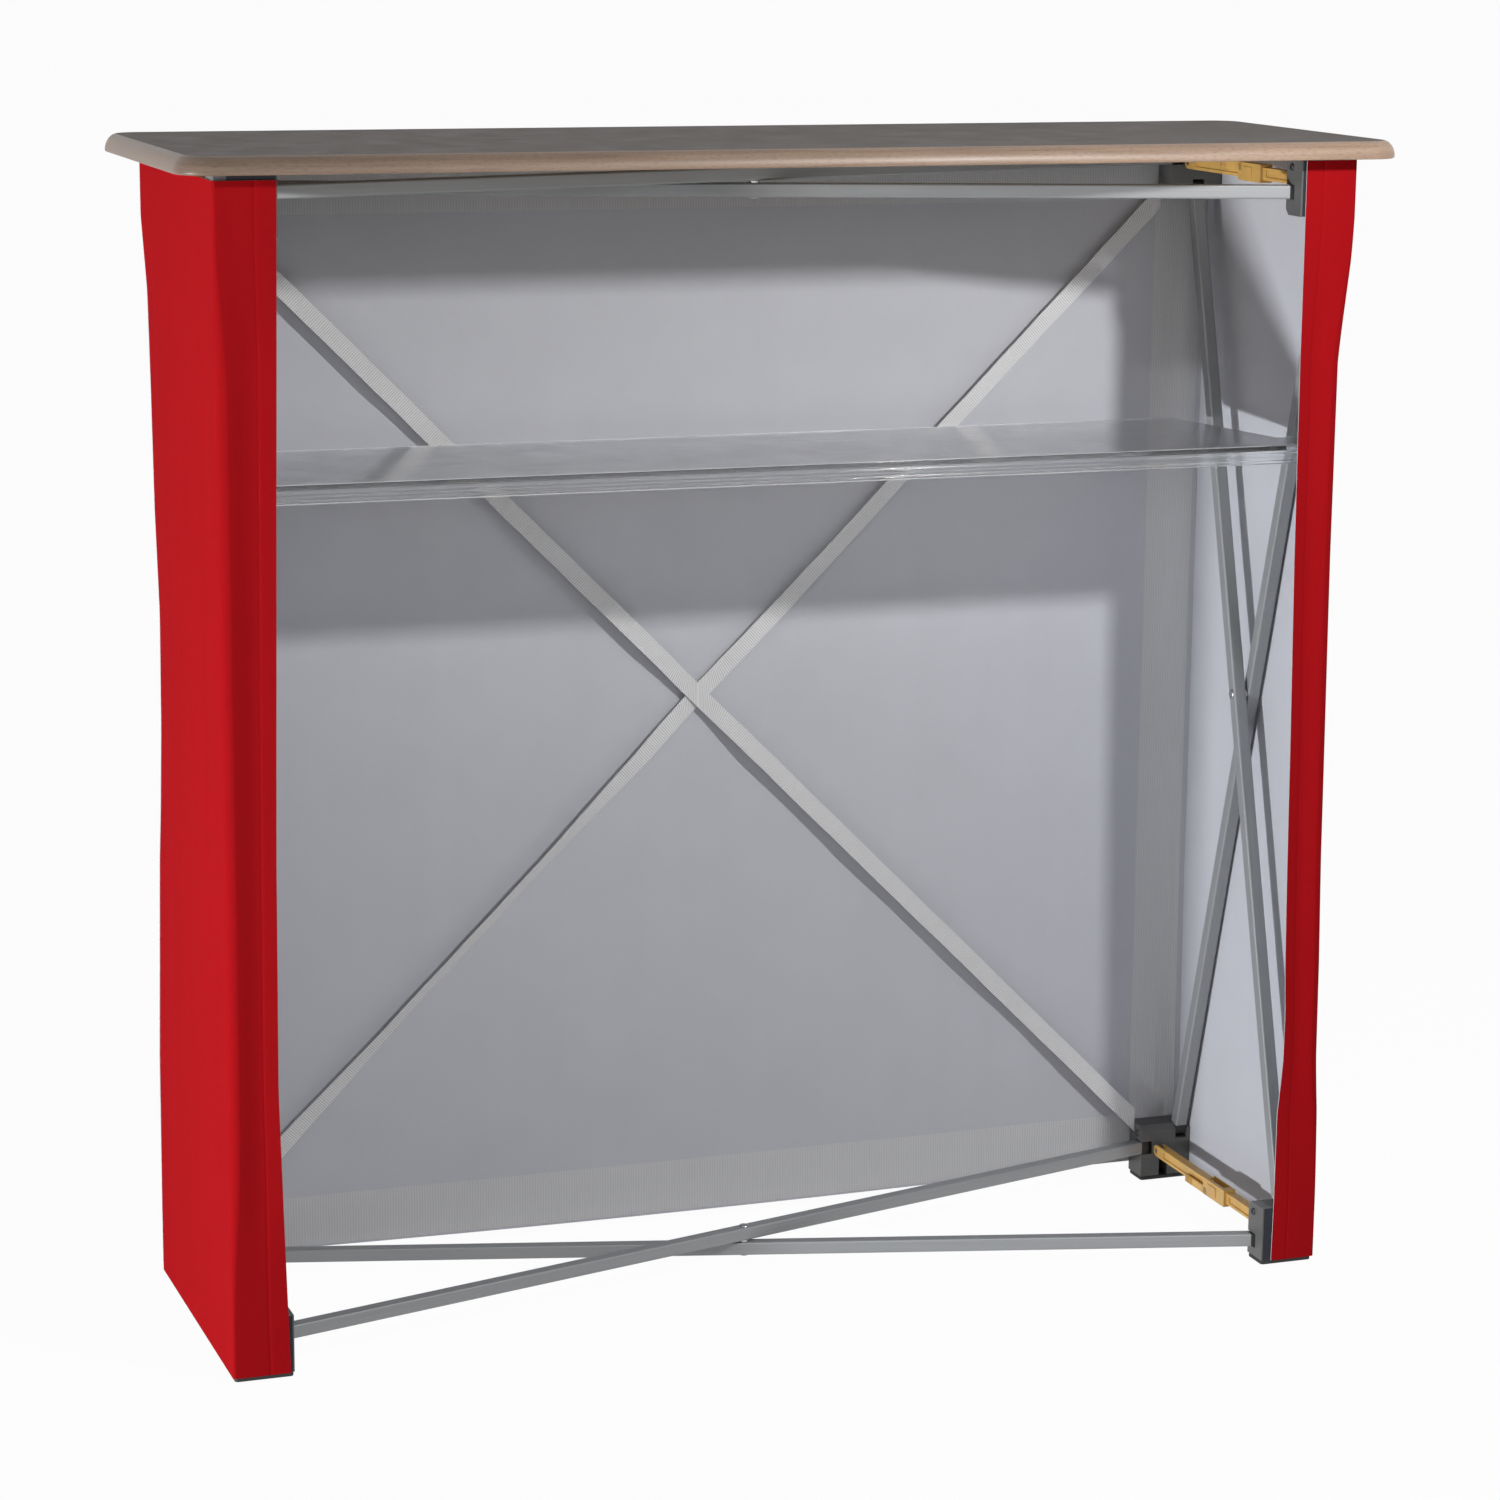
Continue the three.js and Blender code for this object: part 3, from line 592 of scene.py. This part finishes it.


# Woven tape whose rib valleys are painted darker, as shade, by the valley factor
def webbing(name, colour, ribs, across, valley_shade, depth):
    made, tree, shader = surface(name, Roughness=0.85, Specular_IOR_Level=0.25)
    look = use(tree, weave, Colour=(*colour, 1), Threads=700, Streaks=0.04, Mottle=0.06)
    cords = use(tree, ribbed, Height=look["Height"], Ribs=ribs, Across=across, Valley=valley_shade)
    tree.links.new(scaled(tree, look["Colour"], cords["Tone"]), shader.inputs["Base Color"])
    bumped(tree, shader, cords["Height"], strength=0.5, depth=depth)
    return made


hem_tape = webbing("hem_tape", (0.66, 0.66, 0.675), ribs=400, across=0, valley_shade=0.87, depth=0.0002)
hem_width, hem_thickness, hem_step = 0.054, 0.0003, 0.006
hem_end_inset, hem_side_inset = 0.002, 0.006


# The hems lie against the panel's inside
def hem_spot(x, z):
    middle, outwards = front_spot(x, z)
    return middle - outwards * (cloth_thickness + hem_thickness) / 2, outwards


for side, name in ((-1, "left"), (1, "right")):
    edge = side * skin_half
    body = f"front_{name}"
    columns, rows = steps(min(edge, 0), max(edge, 0), cloth_step), steps(skin_low, skin_high, cloth_step)
    panel = sewn(f"front_cloth_{name}", columns, rows, front_spot, cloth_thickness, body, red_cloth,
                 grey_backing)
    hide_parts(f"front_panel_{name}")
    hem_from, hem_to = sorted((edge - side * hem_width, edge - side * hem_side_inset))
    for part, hem_columns, hem_rows in (
            ("bottom", columns, steps(skin_low + hem_end_inset, skin_low + hem_width, hem_step)),
            ("top", columns, steps(skin_high - hem_width, skin_high - hem_end_inset, hem_step)),
            ("side", steps(hem_from, hem_to, hem_step),
             steps(skin_low + hem_width, skin_high - hem_width, cloth_step))):
        hem = sewn(f"front_hem_{part}_{name}", hem_columns, hem_rows, hem_spot, hem_thickness, body,
                   hem_tape, hem_tape)
        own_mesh(hem)
    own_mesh(panel)


# Side flaps: each side of the skin and its return round the near hubs, one sheet of the same cloth with
# a soft corner and a stitched edge. It grips the hubs' tape and is drawn in between the hubs.
flap_far_y, flap_near_y, return_width = 0.1497, -0.1365, 0.049
side_run, corner_run = 0.282, 0.006
flap_run = side_run + corner_run + return_width
flap_x = skin_half - cloth_thickness / 2
flap_step, corner_steps = 0.007, 6
stitch_from_edge, stitch_width, stitch_depth, stitch_step = 0.018, 0.0009, 0.0003, 0.0007
# The heights where a flap begins to hang free and where it does fully, where that ends, and its fade
free_low, free_full, free_high, free_fade = 0.05, 0.2, 0.95, 0.12
tight_radius, slack_radius = 0.0022, 0.006
near_reach, far_reach = 0.04, 0.06
flap_ripple, ripples_along, ripples_up, ripple_seeds = 0.0011, 30, 1.6, (9, 4.2)
return_dip = 0.0022
near_draw = {-1: [(0.1, 0), (0.4, 0.001), (0.8, 0.001), (0.945, 0)],
             1: [(0.14, 0), (0.19, 0.002), (0.28, 0.003), (0.375, 0.0052), (0.47, 0.0062), (0.56, 0.0072),
                 (0.65, 0.0083), (0.82, 0.0083), (0.865, 0.0045), (0.91, 0.001), (0.945, 0)]}
return_edge = {-1: [(0.004, 0.049), (0.12, 0.0455), (0.25, 0.042), (0.36, 0.0427), (0.444, 0.0432),
                    (0.527, 0.0444), (0.609, 0.0457), (0.73, 0.0475), (0.81, 0.0488), (0.889, 0.05),
                    (0.994, 0.0514)],
               1: [(0.004, 0.0432), (0.05, 0.0425), (0.142, 0.0424), (0.19, 0.0385), (0.236, 0.0382),
                   (0.283, 0.0402), (0.375, 0.042), (0.5, 0.0438), (0.646, 0.0465), (0.82, 0.0481),
                   (0.994, 0.0485)]}
flap_top = {-1: 0.9905, 1: 0.994}


def flap_spot(u, z, side):
    between = ease(z, free_low, free_full) * ease(free_high - z, 0, free_fade)
    radius = tight_radius + slack_radius * between
    corner_draw = at_height(z, near_draw[side])
    far_pull = at_height(z, far_draw[side])
    corner_x, corner_y = flap_x - radius, flap_near_y + radius
    if u <= side_run:
        y = flap_far_y + (corner_y - flap_far_y) * u / side_run
        pull = corner_draw * math.exp((flap_near_y - y) / near_reach)
        pull += far_pull * math.exp((y - flap_far_y) / far_reach)
        ripple_place = (ripples_along * y + ripple_seeds[0] * side, ripples_up * z, ripple_seeds[1] * side)
        ripple = flap_ripple * abs(noise.noise(Vector(ripple_place)))
        middle, outwards = Vector((flap_x - pull - ripple * between, y, z)), Vector((1, 0, 0))
    elif u <= side_run + corner_run:
        angle = math.pi / 2 * (u - side_run) / corner_run
        outwards = Vector((math.cos(angle), -math.sin(angle), 0))
        middle = Vector((corner_x - corner_draw, corner_y, z)) + radius * outwards
    else:
        onto_edge = (u - side_run - corner_run) / return_width
        edge_x = skin_half - at_height(z, return_edge[side])
        seam = math.exp(-((flap_run - u - stitch_from_edge) / stitch_width) ** 2)
        dip = return_dip * between * (1 - abs(2 * onto_edge - 1)) + stitch_depth * seam
        x = corner_x - corner_draw + (edge_x - corner_x + corner_draw) * onto_edge
        middle = Vector((x, flap_near_y + dip, z))
        outwards = Vector((0, -1, 0))
    middle.z = skin_low + (z - skin_low) * (flap_top[side] - skin_low) / (skin_high - skin_low)
    return Vector((side * middle.x, middle.y, middle.z)), Vector((side * outwards.x, outwards.y, 0))


for side, name in ((-1, "left"), (1, "right")):
    seam = flap_run - stitch_from_edge
    columns = steps(0, flap_run, flap_step, *(round(seam + k * stitch_step, 6) for k in range(-2, 3)),
                    *(round(side_run + corner_run * k / corner_steps, 6) for k in range(corner_steps + 1)))
    rows = steps(skin_low, skin_high, cloth_step)
    flap = sewn(f"side_cloth_{name}", columns, rows, lambda u, z: flap_spot(u, z, side), cloth_thickness,
                f"flap_{name}", red_cloth, grey_backing)
    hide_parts(f"side_flap_{name}")
    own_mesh(flap)


# Webbing straps: two diagonals of woven white tape with ribs across it, tied from hub to hub to brace
# the frame. The rising one is twisted, and the falling one presses it against the panel at the crossing.
strap_end_x, strap_low, strap_high, strap_width, strap_thickness = 0.4472, 0.056, 0.944, 0.016, 0.0012
rib_pitch, rib_height, cross_step = 0.0021, 0.0002, 0.004
sways, sway_seeds = 9, (2.7, 5.3)
edge_waver, wavers, waver_seeds = 0.0005, 30, (8.1, 3.3)
# The share of a half's twist at the crossing, where it grows from and to, and its fall at the hub
crossing_share, crossing_run, free_run, hub_run = 0.1, 0.006, 0.22, 0.26
press_run, cut_run = 0.09, 0.05
# The straps' rib valleys are painted to two thirds of their colour, as shade.
strap_tape = webbing("strap_tape", (0.86, 0.855, 0.86), ribs=1 / rib_pitch, across=1, valley_shade=0.66,
                     depth=0.0003)
strap_middle = (strap_low + strap_high) / 2
straps = (("falling", -1, 0.1392, 0.0062, 0.0045, 0.0132, {-1: 6, 1: 6}),
          ("rising", 1, 0.1434, 0.0042, 0.0008, 0.005, {-1: 47, 1: 15}))
for lie, direction, strap_y, pressed_in, slack, fold_in, most_twist in straps:
    for side, name in ((-1, "left"), (1, "right")):
        foot = Vector((0, strap_y, strap_middle))
        end_z = strap_middle + direction * side * (strap_high - strap_low) / 2
        end = Vector((side * strap_end_x, strap_y, end_z))
        run = end - foot
        length = run.length
        run.normalize()
        over = Vector((0, 1, 0)).cross(run)
        upright_cut = over.x / run.x

        def strap_spot(v, u):
            sway = noise.noise(Vector((sways * u, sway_seeds[0] * side, sway_seeds[1] * direction)))
            waver = noise.noise(Vector((wavers * u, waver_seeds[0] * side, waver_seeds[1] * direction)))
            wave = slack * math.sin(math.pi * u / length) * sway
            edge_wave = edge_waver * waver
            free = crossing_share + (1 - crossing_share) * ease(u, crossing_run, free_run)
            free *= ease(length - u, 0, hub_run)
            twist = side * math.radians(most_twist[side]) * free
            back = wave + pressed_in * (1 - ease(u, 0, press_run))
            rib = rib_height * abs(math.sin(math.pi * u / rib_pitch))
            lie_over = over * math.cos(twist) + Vector((0, math.sin(twist), 0))
            facing = Vector((0, -math.cos(twist), 0)) + over * math.sin(twist)
            reach = u - v * upright_cut * (1 - ease(u, 0, cut_run) + ease(u, length - cut_run, length))
            middle = foot + run * reach + lie_over * v + over * edge_wave + Vector((0, back, 0))
            return middle + facing * rib, facing

        cross_columns = steps(-strap_width / 2, strap_width / 2, cross_step)
        strap = sewn(f"strap_{lie}_{name}_tape", cross_columns, steps(0, length, rib_pitch / 2), strap_spot,
                     strap_thickness, f"front_{name}", strap_tape, strap_tape)
        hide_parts(f"strap_{lie}_{name}")
        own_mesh(strap)


# Shelf: a sheet of clear plastic, extruded with a ribbed lip along its near edge and notched to let in
# the side bars. Its faces keep the fine draw lines and are rubbed dull in patches.
clear_plastic, tree, shader = surface("clear_plastic", Base_Color=(0.975, 0.985, 0.99, 1),
                                      Transmission_Weight=1, IOR=1.49)
spot = wire(tree, "ShaderNodeTexCoord").outputs["Object"]
rub = noisy(tree, spot, scale=22, detail=6)
tree.links.new(ranged(tree, rub, low=0.05, high=0.16, start=0.35), shader.inputs["Roughness"])
draw_lines = stretched_noise(tree, spot, stretch=(3, 420, 3), detail=2)
bumped(tree, shader, draw_lines, strength=0.5, depth=0.00014)
shelf_edge = 0.0005
softened("shelf", shelf_edge, clear_plastic)


# Worktop: a chipboard panel in a solid beech edging, run to a deep bullnose and taken round the
# corners, with a speckled grey laminate pressed into its top. It lies loose on the top hubs.
worktop_z = 0.9963
worktop_half = Vector((0.531, 0.167))
worktop_corner, bend_steps = 0.03, 10
edge_run = [(0.014, 0.0), (0.0014, 0.0), (0.0006, 0.0003), (0.0001, 0.0010), (0.0, 0.0020),
            (0.0001, 0.0038), (0.0005, 0.0058), (0.0012, 0.0078), (0.0021, 0.0096), (0.0033, 0.0113),
            (0.0048, 0.0129), (0.0065, 0.0141), (0.0084, 0.0148), (0.0091, 0.0149), (0.0092, 0.0138),
            (0.014, 0.0138)]


def worktop_ring(inset):
    radius = worktop_corner - inset
    ring = []
    for corner, (cx, cy) in enumerate(((1, 1), (-1, 1), (-1, -1), (1, -1))):
        for step in range(bend_steps + 1):
            angle = math.pi / 2 * (corner + step / bend_steps)
            ring.append((cx * (worktop_half.x - worktop_corner) + radius * math.cos(angle),
                         cy * (worktop_half.y - worktop_corner) + radius * math.sin(angle)))
    return ring


rings = [worktop_ring(inset) for inset, _ in edge_run]
widest = worktop_ring(0.0)
count = len(widest)
walk = [0.0]
for i in range(count):
    a, b = Vector(widest[i]), Vector(widest[(i + 1) % count])
    walk.append(walk[-1] + (b - a).length)
climb = [0.0]
for (inset, height), (next_inset, next_height) in zip(edge_run, edge_run[1:]):
    climb.append(climb[-1] + math.hypot(next_inset - inset, next_height - height))
inner_height = edge_run[-1][1]
climb.append(climb[-1] + inner_height)
points = [(x, y, worktop_z + height) for ring, (_, height) in zip(rings, edge_run) for x, y in ring]
faces, places = [], []
for row in range(len(rings)):
    for i in range(count):
        next_row, j = (row + 1) % len(rings), (i + 1) % count
        faces.append((row * count + i, row * count + j, next_row * count + j, next_row * count + i))
        places += [(walk[i], climb[row]), (walk[i + 1], climb[row]), (walk[i + 1], climb[row + 1]),
                   (walk[i], climb[row + 1])]
edging_mesh = bpy.data.meshes.new("worktop_edging_shape")
edging_mesh.from_pydata(points, [], faces)
uv = edging_mesh.uv_layers.new(name="along")
for loop, spot in zip(edging_mesh.loops, places):
    uv.data[loop.index].uv = spot
smoothed(edging_mesh, crease=45)

beech, tree, shader = surface("beech", Specular_IOR_Level=0.4, Coat_Weight=0.15, Coat_Roughness=0.35)
along = wire(tree, "ShaderNodeUVMap", uv_map="along").outputs[0]
figure = stretched_noise(tree, along, stretch=(9, 260, 1), detail=6, Distortion=0.6)
fleck = stretched_noise(tree, along, stretch=(170, 1500, 1), detail=2)
broad = stretched_noise(tree, along, stretch=(2.2, 40, 1), detail=3)
wood = ramp(tree, figure, (0.28, (0.315, 0.207, 0.142)), (0.72, (0.445, 0.313, 0.227)))
flecks = ranged(tree, fleck, low=1, high=0.74, start=0.52, end=0.66)
mellow = ranged(tree, broad, low=0.9, high=1.08)
lie = wire(tree, "ShaderNodeSeparateXYZ", {0: wire(tree, "ShaderNodeTexCoord").outputs["Object"]})
# Painted shade: the edging's colour is scaled from half at its left end to full at its right, standing in
# for the lamp's light falling off along the worktop.
painted_end_shade = ranged(tree, lie.outputs["X"], low=0.5, high=1.05, start=-worktop_half.x, end=worktop_half.x)
depth = maths(tree, "MULTIPLY", flecks, maths(tree, "MULTIPLY", mellow, painted_end_shade))
tree.links.new(scaled(tree, wood, depth), shader.inputs["Base Color"])
tree.links.new(ranged(tree, figure, low=0.38, high=0.5), shader.inputs["Roughness"])
bumped(tree, shader, fleck, strength=0.2, depth=0.00008)
edging = add("worktop_edging_shape", edging_mesh, "worktop", beech)
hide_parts("worktop_edging")

laminate_edge, board_edge = 0.0002, 0.0004
speckled_laminate = moulded("speckled_laminate", (0.125, 0.108, 0.1), roughness=0.62, grain=900,
                            depth=0.00006, Specular_IOR_Level=0.12)
softened("worktop_laminate", laminate_edge, speckled_laminate)
chipboard = moulded("chipboard", (0.36, 0.27, 0.17), roughness=0.8, grain=420, depth=0.0002)
softened("worktop_board", board_edge, chipboard)
